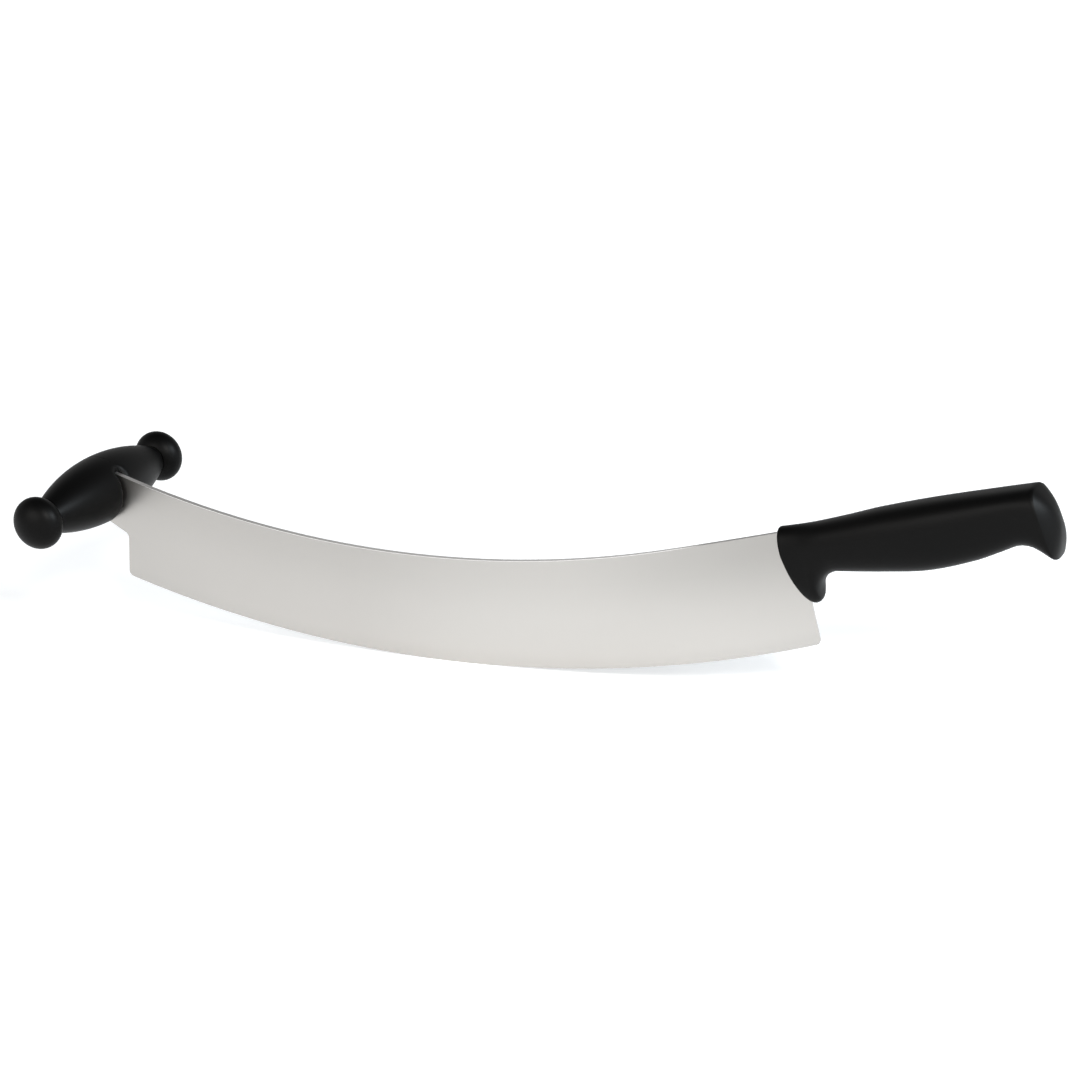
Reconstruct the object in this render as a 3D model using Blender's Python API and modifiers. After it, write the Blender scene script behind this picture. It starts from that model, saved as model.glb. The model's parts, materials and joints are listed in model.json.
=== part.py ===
# Double-handled cheese knife: a curved blade with a cross handle at its front and a moulded grip behind.
#
# Metres. X runs from the cross handle towards the rear handle, Y along the cross handle away from the
# near side, and Z from the cutting edge up to the spine. The pieces are drawn round the cross handle's
# axis. One empty carries them all, so that the world's origin lies under the middle of the knife's box.

import math

import bmesh
import bpy
from mathutils import Matrix, Vector

# Blade
stock_thickness = 0.0025
blade_length = 0.3626           # chord of the cutting edge's arc, from the front edge to the heel
blade_height = 0.0521           # from the lowest point of the edge up to the lowest point of the spine
edge_sag = 0.0272               # how far the edge bows below its chord
spine_radius = 0.5425
spine_rear_start = 0.304        # where the spine goes over into a flatter arc towards the rear handle
spine_rear_radius = 2.7
front_setback = 0.0112          # from the cross handle's axis back to the foot of the front edge
front_drop = 0.0440             # from the cross handle's axis down to the edge's chord
front_lean = math.radians(8.0)  # of the front edge, backwards towards its top
shoulder_drop = 0.0224          # from the axis down to the upper corner of the front edge
shoulder_rounding = 0.0030
corner_rounding = 0.0030        # of the two lower corners
heel_lean = math.radians(11.0)  # of the heel's rear edge, forwards towards its top
lug_radius = 0.0120
grind_height = 0.0400           # how far the tapered faces reach up from the edge
grind_reach = 0.160             # how far up from the edge the grinding ring covers the blank
bevel_height = 0.0014
bevel_thickness = 0.0007        # of the steel where the bevel starts

# Rear handle. Its own frame starts at the top of its front face: along the grip, and up across it.
handle_overhang = 0.0149        # how far the handle's front reaches over the heel
handle_tilt = math.radians(13.6)
handle_cover = 0.0025           # height of the handle's front over the spine
grip_length = 0.1203
front_bow = 0.0023              # how far the front face bulges towards the blade
thumb_place = 0.0166
thumb_dip = 0.0006
thumb_end_place = 0.0316
thumb_end_dip = 0.00005
back_place = 0.0486
back_rise = 0.00095
crown_place = 0.0770
crown_rise = 0.00120
rim_rise = 0.0002
guard_reach = 0.0089
guard_depth = 0.0366
guard_nose_radius = 0.0030
notch_place = 0.0226
notch_depth = 0.0233
belly_front_place = 0.0436
belly_front_depth = 0.0264
palm_place = 0.0656
palm_depth = 0.0288
belly_rear_place = 0.0876
belly_rear_depth = 0.0276
waist_start_place = 0.1006
waist_start_depth = 0.0253
waist_place = 0.1091
waist_depth = 0.0239
beak_start_place = 0.1156
beak_start_depth = 0.0262
beak_place = 0.1229
beak_depth = 0.0331
front_half_width = 0.0074
notch_half_width = 0.0098
palm_half_width = 0.0123
waist_half_width = 0.0114
pommel_half_width = 0.0119
pommel_dome = 0.0057
front_rim_rounding = 0.0007
pommel_rim_rounding = 0.0012
front_power = 2.4               # of the superellipse in front: 2 gives an ellipse, more is squarer
pommel_power = 3.2

# Tang, in the rear handle's frame
tang_entry = 0.0015             # how far the full blade enters the handle before its top steps down
tang_front_depth = 0.0045
tang_step_place = 0.0176
tang_depth = 0.0130             # of its middle line
tang_half_height = 0.0058
tang_end_half_height = 0.0044
tang_length = 0.0925
tang_rounding = 0.0025
heel_place = 0.0054             # of the heel's rear edge where it meets the guard
lock_hole_radius = 0.0026
lock_hole_start = 0.0345
lock_hole_spacing = 0.0240
lock_hole_count = 3

# Cross handle
barrel_radius = 0.0164
barrel_bow_radius = 0.120       # of the barrel's side, seen across its axis
barrel_end = 0.0451             # from the blade's middle plane
barrel_rim_rounding = 0.0040    # beside the blade only: elsewhere the halves meet
mouth_low = math.radians(-78.0)     # where the blade leaves the barrel, about its axis
mouth_high = math.radians(28.0)
mouth_fade = math.radians(40.0)     # over which the rounding runs out on both sides of the blade
pocket_low = math.radians(-98.0)    # where the halves part to let the blade out, at the barrel's side
pocket_high = math.radians(48.0)
pocket_low_lean = math.radians(26.0)    # how much further round that is at the lug
pocket_high_lean = math.radians(20.0)
knob_radius = 0.01285
knob_half_thickness = 0.0089
knob_seat_radius = 0.0074

# Fastening inside the cross handle
stud_radius = 0.0030
stud_chamfer = 0.0006
stud_grip = 0.0085              # length of stud inside each knob
insert_radius = 0.0046
insert_length = 0.0090
insert_chamfer = 0.0005
insert_groove_width = 0.0016
insert_groove_depth = 0.0006
clearance = 0.0003              # between any two pieces

# Fineness of the faceted solids
turned_steps = 40
handle_facets = 28
grind_steps = 360
cutter_overrun = 0.004
weld_distance = 0.000001

steel_grey = (0.68, 0.66, 0.63)
handle_black = (0.012, 0.012, 0.013)
stud_grey = (0.55, 0.55, 0.56)
brass_yellow = (0.72, 0.52, 0.24)


# Scene and objects

def clear_scene():
    for item in list(bpy.data.objects):
        bpy.data.objects.remove(item, do_unlink=True)


def new_collection(name):
    collection = bpy.data.collections.new(name)
    bpy.context.scene.collection.children.link(collection)
    return collection


def new_material(name, colour, roughness, metallic):
    material = bpy.data.materials.new(name)
    material.use_nodes = True
    shader = material.node_tree.nodes["Principled BSDF"]
    shader.inputs["Base Color"].default_value = (*colour, 1.0)
    shader.inputs["Roughness"].default_value = roughness
    shader.inputs["Metallic"].default_value = metallic
    return material


def new_object(name, mesh, collection, material=None):
    item = bpy.data.objects.new(name, mesh)
    collection.objects.link(item)
    if material and not mesh.materials:
        mesh.materials.append(material)
    return item


def new_cutter(name, mesh, collection):
    item = new_object(name, mesh, collection)
    item.hide_render = True
    item.display_type = "WIRE"
    return item


def add_boolean(item, cutter, operation):
    modifier = item.modifiers.new(cutter.name, "BOOLEAN")
    modifier.operation = operation
    modifier.solver = "EXACT"
    modifier.object = cutter


def solid_from(shape, name):
    """A mesh from a bmesh, with its doubles welded and its faces turned outwards."""
    bmesh.ops.remove_doubles(shape, verts=shape.verts, dist=weld_distance)
    bmesh.ops.recalc_face_normals(shape, faces=shape.faces)
    mesh = bpy.data.meshes.new(name)
    shape.to_mesh(mesh)
    shape.free()
    return mesh


# Plane outlines, as (x, z) points

def arc(centre, radius, start, end, count):
    """Points along an arc, both ends among them."""
    points = []
    for step in range(count + 1):
        angle = start + (end - start) * step / count
        points.append((centre[0] + radius * math.cos(angle), centre[1] + radius * math.sin(angle)))
    return points


def rounded_corner(before, corner, after, radius, count=5):
    """The arc that takes one corner's place."""
    corner = Vector(corner)
    to_before = (Vector(before) - corner).normalized()
    to_after = (Vector(after) - corner).normalized()
    half_angle = to_before.angle(to_after) / 2.0
    reach = radius / math.tan(half_angle)
    centre = corner + (to_before + to_after).normalized() * (radius / math.sin(half_angle))
    first = corner + to_before * reach - centre
    last = corner + to_after * reach - centre
    start = math.atan2(first.y, first.x)
    turn = math.atan2(first.x * last.y - first.y * last.x, first.dot(last))
    return arc(centre, radius, start, start + turn, count)


def rounded_path(corners):
    """An open path through (x, z, radius) corners, whose two ends stay sharp."""
    points = [corners[0][:2]]
    for before, corner, after in zip(corners, corners[1:], corners[2:]):
        points += rounded_corner(before[:2], corner[:2], after[:2], corner[2])
    points.append(corners[-1][:2])
    return points


def grown(outline, distance):
    """A closed clockwise outline with every side moved outwards."""
    moved = []
    for index, point in enumerate(outline):
        into = (Vector(point) - Vector(outline[index - 1])).normalized()
        out_of = (Vector(outline[(index + 1) % len(outline)]) - Vector(point)).normalized()
        bisector = (into + out_of).normalized()
        outward = Vector((-bisector.y, bisector.x))
        moved.append(Vector(point) + outward * distance / bisector.dot(into))
    return moved


def leaving_point(start, heading, centre, radius):
    """Where a line that starts inside a circle leaves it."""
    offset = Vector(start) - Vector(centre)
    along = offset.dot(heading)
    reach = math.sqrt(along * along - offset.length_squared + radius * radius) - along
    return Vector(start) + heading * reach


def smooth_through(stops, place):
    """A smooth curve through (place, value) stops."""
    index = 0
    while index < len(stops) - 2 and place > stops[index + 1][0]:
        index += 1

    def slope(middle):
        before = stops[max(middle - 1, 0)]
        after = stops[min(middle + 1, len(stops) - 1)]
        return (after[1] - before[1]) / (after[0] - before[0])

    span = stops[index + 1][0] - stops[index][0]
    share = (place - stops[index][0]) / span
    rest = 1.0 - share
    return (
        stops[index][1] * rest * rest * (1.0 + 2.0 * share)
        + stops[index + 1][1] * share * share * (3.0 - 2.0 * share)
        + slope(index) * span * share * rest * rest
        - slope(index + 1) * span * share * share * rest
    )


# Where the blade's two arcs and the rear handle lie

edge_radius = ((blade_length / 2.0) ** 2 + edge_sag ** 2) / (2.0 * edge_sag)
edge_low = -front_drop - edge_sag
edge_centre = (front_setback + blade_length / 2.0, edge_low + edge_radius)
spine_low = edge_low + blade_height
shoulder_corner = (front_setback + (front_drop - shoulder_drop) * math.tan(front_lean), -shoulder_drop)
# The spine's arc touches the lug's circle, which fixes its centre.
spine_centre = (
    math.sqrt((spine_radius + lug_radius) ** 2 - (spine_low + spine_radius) ** 2),
    spine_low + spine_radius,
)
rear_slope = math.asin((spine_rear_start - spine_centre[0]) / spine_radius)
spine_rear_centre = (
    spine_rear_start - math.sin(rear_slope) * spine_rear_radius,
    spine_centre[1] + math.cos(rear_slope) * (spine_rear_radius - spine_radius),
)
handle_start = front_setback + blade_length - handle_overhang


def rear_spine_height(x):
    return spine_rear_centre[1] - math.sqrt(spine_rear_radius ** 2 - (x - spine_rear_centre[0]) ** 2)


def from_handle(along, up):
    """A point of the rear handle's frame, as (x, z) of the knife."""
    return (
        handle_start + math.cos(handle_tilt) * along - math.sin(handle_tilt) * up,
        rear_spine_height(handle_start) + handle_cover
        + math.sin(handle_tilt) * along + math.cos(handle_tilt) * up,
    )


# Blade

def lug_path():
    """Round the lug, from the line that rises from the front edge's corner to the spine."""
    shoulder = Vector(shoulder_corner)
    start = math.atan2(shoulder.y, shoulder.x) - math.acos(lug_radius / shoulder.length)
    end = math.atan2(spine_centre[1], spine_centre[0]) - 2.0 * math.pi
    return arc((0.0, 0.0), lug_radius, start, end, 20)


def spine_path():
    """The spine's two arcs, from the lug to just inside the rear handle."""
    upright = -math.pi / 2.0
    start = math.atan2(-spine_centre[1], -spine_centre[0])
    count = round((upright + rear_slope - start) * grind_steps / (2.0 * math.pi))
    front = arc(spine_centre, spine_radius, start, upright + rear_slope, count)
    end_x = from_handle(tang_entry, 0.0)[0]
    end_slope = math.asin((end_x - spine_rear_centre[0]) / spine_rear_radius)
    rear = arc(spine_rear_centre, spine_rear_radius, upright + rear_slope, upright + end_slope, 6)
    return front[1:] + rear[1:]


def tang_path():
    """From the spine's end round the tang and down to the foot of the guard."""
    end_place = tang_length - tang_end_half_height
    upper = (
        (tang_entry, -tang_front_depth, 0.0),
        (tang_step_place, -tang_front_depth, tang_rounding),
        (tang_step_place + tang_rounding, -tang_depth + tang_half_height, tang_rounding),
        (end_place, -tang_depth + tang_end_half_height, 0.0),
    )
    round_end = arc((end_place, -tang_depth), tang_end_half_height, math.pi / 2.0, -math.pi / 2.0, 10)
    lower = (
        (end_place, -tang_depth - tang_end_half_height, 0.0),
        (heel_place, -tang_depth - tang_half_height, tang_rounding),
        (heel_place, -guard_depth, 0.0),
    )
    points = rounded_path(upper) + round_end[1:-1] + rounded_path(lower)
    return [from_handle(along, up) for along, up in points]


def lower_corner(top, heading, along_edge):
    """A rounded lower corner, from the blade's end to the cutting edge's arc."""
    corner = leaving_point(top, heading, edge_centre, edge_radius)
    outward = (corner - Vector(edge_centre)).normalized()
    edge_heading = Vector((-outward.y, outward.x)) * along_edge
    return rounded_corner(top, corner, corner + edge_heading, corner_rounding)


def blade_outline():
    """The blank before grinding, clockwise. It reaches past the cutting edge, where the grind cuts it."""
    lug = lug_path()
    tang = tang_path()
    heel = lower_corner(tang[-1], Vector((math.sin(heel_lean), -math.cos(heel_lean))), -1.0)
    front = lower_corner(shoulder_corner, Vector((-math.sin(front_lean), -math.cos(front_lean))), 1.0)
    start, end = (math.atan2(z - edge_centre[1], x - edge_centre[0]) for x, z in (heel[-1], front[-1]))
    below = arc(edge_centre, edge_radius + cutter_overrun, start, end, 24)
    shoulder = rounded_corner(front[0], shoulder_corner, lug[0], shoulder_rounding)
    return lug + spine_path() + tang + heel + below + front[::-1] + shoulder


def circle(centre, radius, count=20):
    return arc(centre, radius, 0.0, 2.0 * math.pi, count)[:-1]


def lock_holes(radius):
    """The round holes in the tang that the handle's plastic fills."""
    places = (lock_hole_start + index * lock_hole_spacing for index in range(lock_hole_count))
    return [circle(from_handle(place, -tang_depth), radius) for place in places]


def plate_mesh(name, outlines, half_thickness):
    """A flat solid across Y. Outlines that lie inside the first one are holes."""
    curve = bpy.data.curves.new(name, "CURVE")
    curve.dimensions = "2D"
    curve.fill_mode = "BOTH"
    curve.extrude = half_thickness
    for outline in outlines:
        spline = curve.splines.new("POLY")
        spline.points.add(len(outline) - 1)
        for point, place in zip(spline.points, outline):
            point.co = (place[0], place[1], 0.0, 1.0)
        spline.use_cyclic_u = True
    drawn = bpy.data.objects.new(name, curve)
    bpy.context.scene.collection.objects.link(drawn)
    drawn.rotation_euler = (math.pi / 2.0, 0.0, 0.0)
    bpy.context.view_layer.update()
    evaluated = drawn.evaluated_get(bpy.context.evaluated_depsgraph_get())
    mesh = bpy.data.meshes.new_from_object(evaluated)
    mesh.transform(drawn.matrix_world)
    shape = bmesh.new()
    shape.from_mesh(mesh)
    bpy.data.meshes.remove(mesh)
    bpy.data.objects.remove(drawn, do_unlink=True)
    bpy.data.curves.remove(curve)
    return solid_from(shape, name)


def grind_profile():
    """Half of the ground section, as (distance from the edge's centre, half thickness)."""
    return (
        (edge_radius, 0.0),
        (edge_radius - bevel_height, bevel_thickness / 2.0),
        (edge_radius - grind_height, stock_thickness / 2.0),
        (edge_radius - grind_height - cutter_overrun, stock_thickness),
        (edge_radius - grind_reach, stock_thickness),
    )


def grind_mesh():
    """A ring whose section is the blade's: what lies outside it is ground away."""
    half = grind_profile()
    section = [(radius, -side) for radius, side in half[::-1]] + list(half[1:])
    shape = bmesh.new()
    points = [shape.verts.new((radius, 0.0, side)) for radius, side in section]
    edges = [shape.edges.new((point, points[index - 1])) for index, point in enumerate(points)]
    step = 2.0 * math.pi / grind_steps
    bmesh.ops.rotate(shape, cent=(0, 0, 0), matrix=Matrix.Rotation(step / 2.0, 3, "Z"), verts=points)
    bmesh.ops.spin(
        shape, geom=points + edges, cent=(0, 0, 0), axis=(0, 0, 1), dvec=(0, 0, 0),
        angle=2.0 * math.pi, steps=grind_steps, use_merge=True, use_duplicate=False,
    )
    bmesh.ops.rotate(shape, cent=(0, 0, 0), matrix=Matrix.Rotation(math.pi / 2.0, 3, "X"), verts=shape.verts)
    bmesh.ops.translate(shape, vec=(edge_centre[0], 0.0, edge_centre[1]), verts=shape.verts)
    return solid_from(shape, "grind")


def make_blade(parts, cutters, material):
    outlines = [blade_outline(), circle((0.0, 0.0), stud_radius + clearance)]
    outlines += lock_holes(lock_hole_radius)
    blade = new_object("blade", plate_mesh("blade", outlines, stock_thickness / 2.0), parts, material)
    grind = new_cutter("grind", grind_mesh(), cutters)
    add_boolean(blade, grind, "INTERSECT")
    return [blade, grind]


# Rear handle

top_line = (
    (0.0, 0.0),
    (thumb_place, -thumb_dip),
    (thumb_end_place, -thumb_end_dip),
    (back_place, back_rise),
    (crown_place, crown_rise),
    (grip_length, rim_rise),
)
underside = (
    (notch_place, -notch_depth),
    (belly_front_place, -belly_front_depth),
    (palm_place, -palm_depth),
    (belly_rear_place, -belly_rear_depth),
    (waist_start_place, -waist_start_depth),
    (waist_place, -waist_depth),
    (beak_start_place, -beak_start_depth),
    (beak_place, -beak_depth),
)
half_widths = (
    (0.0, front_half_width),
    (notch_place, notch_half_width),
    (palm_place, palm_half_width),
    (waist_place, waist_half_width),
    (grip_length, pommel_half_width),
)


def guard_feet(nose_steps=5, back_steps=5):
    """The guard's lower line: round its nose, then up its hollow back to the notch."""
    nose_centre = (guard_reach, -guard_depth + guard_nose_radius)
    lean = math.atan2(guard_reach - guard_nose_radius, guard_depth)
    feet = arc(nose_centre, guard_nose_radius, math.pi + lean, 2.0 * math.pi, nose_steps)
    back_start = Vector(feet[-1])
    back = Vector((notch_place, -notch_depth)) - back_start
    for step in range(1, back_steps):
        angle = math.pi / 2.0 * step / back_steps
        along = back.x * (1.0 - math.cos(angle))
        feet.append((back_start.x + along, back_start.y + back.y * math.sin(angle)))
    return feet


def handle_sections(grip_steps=20):
    """Each cross section's top place and foot, from the front face to the pommel's rim."""
    feet = guard_feet()
    sections = [(notch_place * index / len(feet), foot) for index, foot in enumerate(feet)]
    for step in range(grip_steps + 1):
        share = step / grip_steps
        top = notch_place + (grip_length - notch_place) * share
        foot = notch_place + (beak_place - notch_place) * share
        sections.append((top, (foot, smooth_through(underside, foot))))
    return sections


def section_ring(top_place, foot):
    """A superellipse that stands on its foot and reaches up to the handle's top line."""
    bow = front_bow * max(1.0 - top_place / notch_place, 0.0) ** 2
    top = Vector((top_place, smooth_through(top_line, top_place)))
    middle = (top + Vector(foot)) / 2.0
    half_height = top - middle
    half_width = smooth_through(half_widths, top_place)
    power = front_power + (pommel_power - front_power) * top_place / grip_length
    ring = []
    for facet in range(handle_facets):
        angle = 2.0 * math.pi * facet / handle_facets
        up = math.copysign(abs(math.cos(angle)) ** (2.0 / power), math.cos(angle))
        side = math.copysign(abs(math.sin(angle)) ** (2.0 / power), math.sin(angle))
        along, height = middle + half_height * up
        x, z = from_handle(along - bow * (1.0 - up * up), height)
        ring.append(Vector((x, half_width * side, z)))
    return ring


def dome_rings(rim, shares=(0.84, 0.6, 0.3)):
    """The pommel's domed end, as rings that shrink towards its middle."""
    centre = sum(rim, Vector()) / len(rim)
    top_to_foot = rim[handle_facets // 2] - rim[0]
    outward = top_to_foot.cross(Vector((0.0, 1.0, 0.0))).normalized()
    outward *= math.copysign(1.0, outward.x)
    rings = []
    for share in shares:
        swell = outward * pommel_dome * (1.0 - share * share)
        rings.append([centre + (point - centre) * share + swell for point in rim])
    return rings, centre + outward * pommel_dome


def handle_mesh():
    """The grip as a loft through its cross sections, flat in front and domed behind."""
    shape = bmesh.new()
    weights = shape.edges.layers.float.new("bevel_weight_edge")
    points = [section_ring(top, foot) for top, foot in handle_sections()]
    dome, tip = dome_rings(points[-1])
    rings = [[shape.verts.new(point) for point in ring] for ring in points + dome]
    for ring, following in zip(rings, rings[1:]):
        for facet in range(handle_facets):
            before = facet - 1
            shape.faces.new((ring[before], ring[facet], following[facet], following[before]))
    # The front face is bowed in side view only, so it is closed by level strips from side to side.
    front = rings[0]
    for facet in range(1, handle_facets // 2):
        strip = (front[facet], front[facet - 1], front[1 - facet], front[-facet])
        shape.faces.new(strip if facet > 1 else strip[:2] + strip[3:])
    middle = handle_facets // 2
    shape.faces.new((front[middle], front[middle - 1], front[middle + 1]))
    tip_point = shape.verts.new(tip)
    last = rings[-1]
    for facet in range(handle_facets):
        shape.faces.new((last[facet - 1], last[facet], tip_point))
    for ring, rounding in ((rings[0], front_rim_rounding), (rings[len(points) - 1], pommel_rim_rounding)):
        for facet in range(handle_facets):
            edge = shape.edges.get((ring[facet - 1], ring[facet]))
            edge[weights] = rounding / max(front_rim_rounding, pommel_rim_rounding)
    return solid_from(shape, "rear_handle")


def make_rear_handle(parts, cutters, material):
    mesh = handle_mesh()
    handle = new_object("rear_handle", mesh, parts, material)
    bevel = handle.modifiers.new("rims", "BEVEL")
    bevel.limit_method = "WEIGHT"
    bevel.width = max(front_rim_rounding, pommel_rim_rounding)
    bevel.segments = 3
    # The slot is the blade's own outline, let out by the clearance. Its holes leave the locking pins.
    outlines = [grown(blade_outline(), clearance)] + lock_holes(lock_hole_radius - clearance)
    slot_mesh = plate_mesh("tang_slot", outlines, stock_thickness / 2.0 + clearance)
    slot = new_cutter("tang_slot", slot_mesh, cutters)
    add_boolean(handle, slot, "DIFFERENCE")
    return [handle, slot]


# Cross handle, turned about its axis. A profile is (radius, distance from the blade) and runs down
# its outer side, from the end that faces outwards to the end that faces the blade.

def bow_radius_at(distance):
    """The barrel's radius at a distance from the blade's middle plane."""
    return barrel_radius - barrel_bow_radius + math.sqrt(barrel_bow_radius ** 2 - distance ** 2)


def rounding_share(angle):
    """How much of the rim's rounding a half has at an angle about the axis."""
    middle = (mouth_low + mouth_high) / 2.0
    outside = abs(math.remainder(angle - middle, 2.0 * math.pi)) - (mouth_high - mouth_low) / 2.0
    faded = min(max(outside / mouth_fade, 0.0), 1.0)
    return 1.0 - faded * faded * (3.0 - 2.0 * faded)


def barrel_outline(angle):
    """A half's cut through its wall at an angle, as (radius, distance) points round it."""
    bore = stud_radius + clearance
    side_start = stock_thickness / 2.0 + clearance + barrel_rim_rounding
    steps = 12
    side = []
    for step in range(steps + 1):
        distance = barrel_end - (barrel_end - side_start) * step / steps
        side.append((bow_radius_at(distance), distance))
    share = rounding_share(angle)
    for radius, distance in arc((-barrel_rim_rounding, side_start), barrel_rim_rounding, 0.0, -math.pi / 2.0, 6)[1:]:
        side.append((bow_radius_at(distance) + share * radius, distance))
    seam = clearance / 2.0
    side.append((bow_radius_at(seam) - share * barrel_rim_rounding, seam))
    return [(bore, barrel_end)] + side + [(bore, seam)]


def barrel_mesh(name, side):
    """One half of the barrel: side is -1 for the near and 1 for the far one."""
    shape = bmesh.new()
    rings = []
    for facet in range(turned_steps):
        angle = 2.0 * math.pi * facet / turned_steps
        ring = []
        for radius, distance in barrel_outline(angle):
            point = (radius * math.cos(angle), side * distance, radius * math.sin(angle))
            ring.append(shape.verts.new(point))
        rings.append(ring)
    for before, ring in zip(rings[-1:] + rings, rings):
        for index in range(len(ring)):
            shape.faces.new((before[index - 1], before[index], ring[index], ring[index - 1]))
    return solid_from(shape, name)


def polar(radius, angle):
    return (radius * math.cos(angle), radius * math.sin(angle))


def pocket_outline():
    """The hollow between the halves: round for the lug, and open where the blade leaves."""
    lug_end = 2.0 * math.pi + pocket_low - pocket_low_lean
    round_part = arc((0.0, 0.0), lug_radius + clearance, pocket_high + pocket_high_lean, lug_end, 18)
    mouth = arc((0.0, 0.0), barrel_radius + cutter_overrun, pocket_low, pocket_high, 8)
    corners = [polar(barrel_radius, pocket_low)] + mouth + [polar(barrel_radius, pocket_high)]
    return round_part + corners


def make_barrel(parts, cutters, material):
    pocket_mesh = plate_mesh("lug_pocket", [pocket_outline()], stock_thickness / 2.0 + clearance)
    pocket = new_cutter("lug_pocket", pocket_mesh, cutters)
    halves = []
    for name, side in (("front_grip_near", -1.0), ("front_grip_far", 1.0)):
        half = new_object(name, barrel_mesh(name, side), parts, material)
        add_boolean(half, pocket, "DIFFERENCE")
        halves.append(half)
    return halves + [pocket]


def knob_profile():
    seat = barrel_end + clearance
    socket = insert_radius + clearance
    socket_end = seat + insert_length + 2.0 * clearance
    seat_angle = math.asin(knob_seat_radius / knob_radius)
    centre = seat + knob_half_thickness * math.cos(seat_angle)
    steps = 16
    profile = []
    for step in range(steps + 1):
        angle = (math.pi - seat_angle) * step / steps
        profile.append((knob_radius * math.sin(angle), centre + knob_half_thickness * math.cos(angle)))
    profile[0] = (0.0, profile[0][1])
    return profile + [(socket, seat), (socket, socket_end), (0.0, socket_end)]


def insert_profile():
    start = barrel_end + 2.0 * clearance
    end = start + insert_length
    middle = (start + end) / 2.0
    bore = stud_radius + clearance
    groove = insert_radius - insert_groove_depth
    half_groove = insert_groove_width / 2.0
    return [
        (bore, end),
        (insert_radius - insert_chamfer, end),
        (insert_radius, end - insert_chamfer),
        (insert_radius, middle + half_groove),
        (groove, middle + half_groove),
        (groove, middle - half_groove),
        (insert_radius, middle - half_groove),
        (insert_radius, start + insert_chamfer),
        (insert_radius - insert_chamfer, start),
        (bore, start),
    ]


def stud_profile():
    end = barrel_end + clearance + stud_grip
    return [
        (0.0, end),
        (stud_radius - stud_chamfer, end),
        (stud_radius, end - stud_chamfer),
        (stud_radius, stud_chamfer - end),
        (stud_radius - stud_chamfer, -end),
        (0.0, -end),
    ]


def profile_mesh(name, profile, closed):
    shape = bmesh.new()
    points = [shape.verts.new((radius, 0.0, distance)) for radius, distance in profile]
    for first, second in zip(points, points[1:]):
        shape.edges.new((first, second))
    if closed:
        shape.edges.new((points[-1], points[0]))
    mesh = bpy.data.meshes.new(name)
    shape.to_mesh(mesh)
    shape.free()
    return mesh


def add_turning(item):
    screw = item.modifiers.new("turning", "SCREW")
    screw.axis = "Z"
    screw.steps = turned_steps
    screw.render_steps = turned_steps
    screw.use_merge_vertices = True
    screw.merge_threshold = 0.00001
    screw.use_smooth_shade = True


def turned_pair(name, profile, closed, parts, material):
    """The near and the far piece, alike, each turned to face away from the blade."""
    mesh = profile_mesh(name, profile, closed)
    pieces = []
    for side, facing in (("near", math.pi / 2.0), ("far", -math.pi / 2.0)):
        piece = new_object(f"{name}_{side}", mesh, parts, material)
        piece.rotation_euler = (facing, 0.0, 0.0)
        add_turning(piece)
        pieces.append(piece)
    return pieces


def make_cross_handle(parts, cutters, plastic, steel, brass):
    pieces = make_barrel(parts, cutters, plastic)
    pieces += turned_pair("front_knob", knob_profile(), False, parts, plastic)
    pieces += turned_pair("knob_insert", insert_profile(), True, parts, brass)
    stud = new_object("cross_stud", profile_mesh("cross_stud", stud_profile(), False), parts, steel)
    stud.rotation_euler = (math.pi / 2.0, 0.0, 0.0)
    add_turning(stud)
    return pieces + [stud]


# Assembly

def knife_origin():
    """An empty that carries every piece and puts the middle of the knife over the world's origin."""
    rim = section_ring(*handle_sections()[-1])
    tail = max(point.x for point in rim + [dome_rings(rim)[1]])
    origin = bpy.data.objects.new("knife_origin", None)
    bpy.context.scene.collection.objects.link(origin)
    origin.location = ((barrel_radius - tail) / 2.0, 0.0, -edge_low)
    return origin


def build_knife():
    clear_scene()
    parts = new_collection("double_handled_cheese_knife")
    cutters = new_collection("cutters")
    plastic = new_material("handle_plastic", handle_black, 0.42, 0.0)
    pieces = make_blade(parts, cutters, new_material("blade_steel", steel_grey, 0.32, 1.0))
    pieces += make_rear_handle(parts, cutters, plastic)
    stud_steel = new_material("stud_steel", stud_grey, 0.3, 1.0)
    brass = new_material("insert_brass", brass_yellow, 0.35, 1.0)
    pieces += make_cross_handle(parts, cutters, plastic, stud_steel, brass)
    origin = knife_origin()
    for piece in pieces:
        piece.parent = origin


build_knife()
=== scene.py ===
# Double-handled cheese knife: its fine turned, moulded and ground surfaces, the finishes and the
# studio. Metres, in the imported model's frame: X from the cross handle to the rear handle, Y along
# the cross handle away from the near side, Z up from the lowest point of the cutting edge.

import json
import math

import bmesh
import bpy
from mathutils import Matrix, Vector

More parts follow.
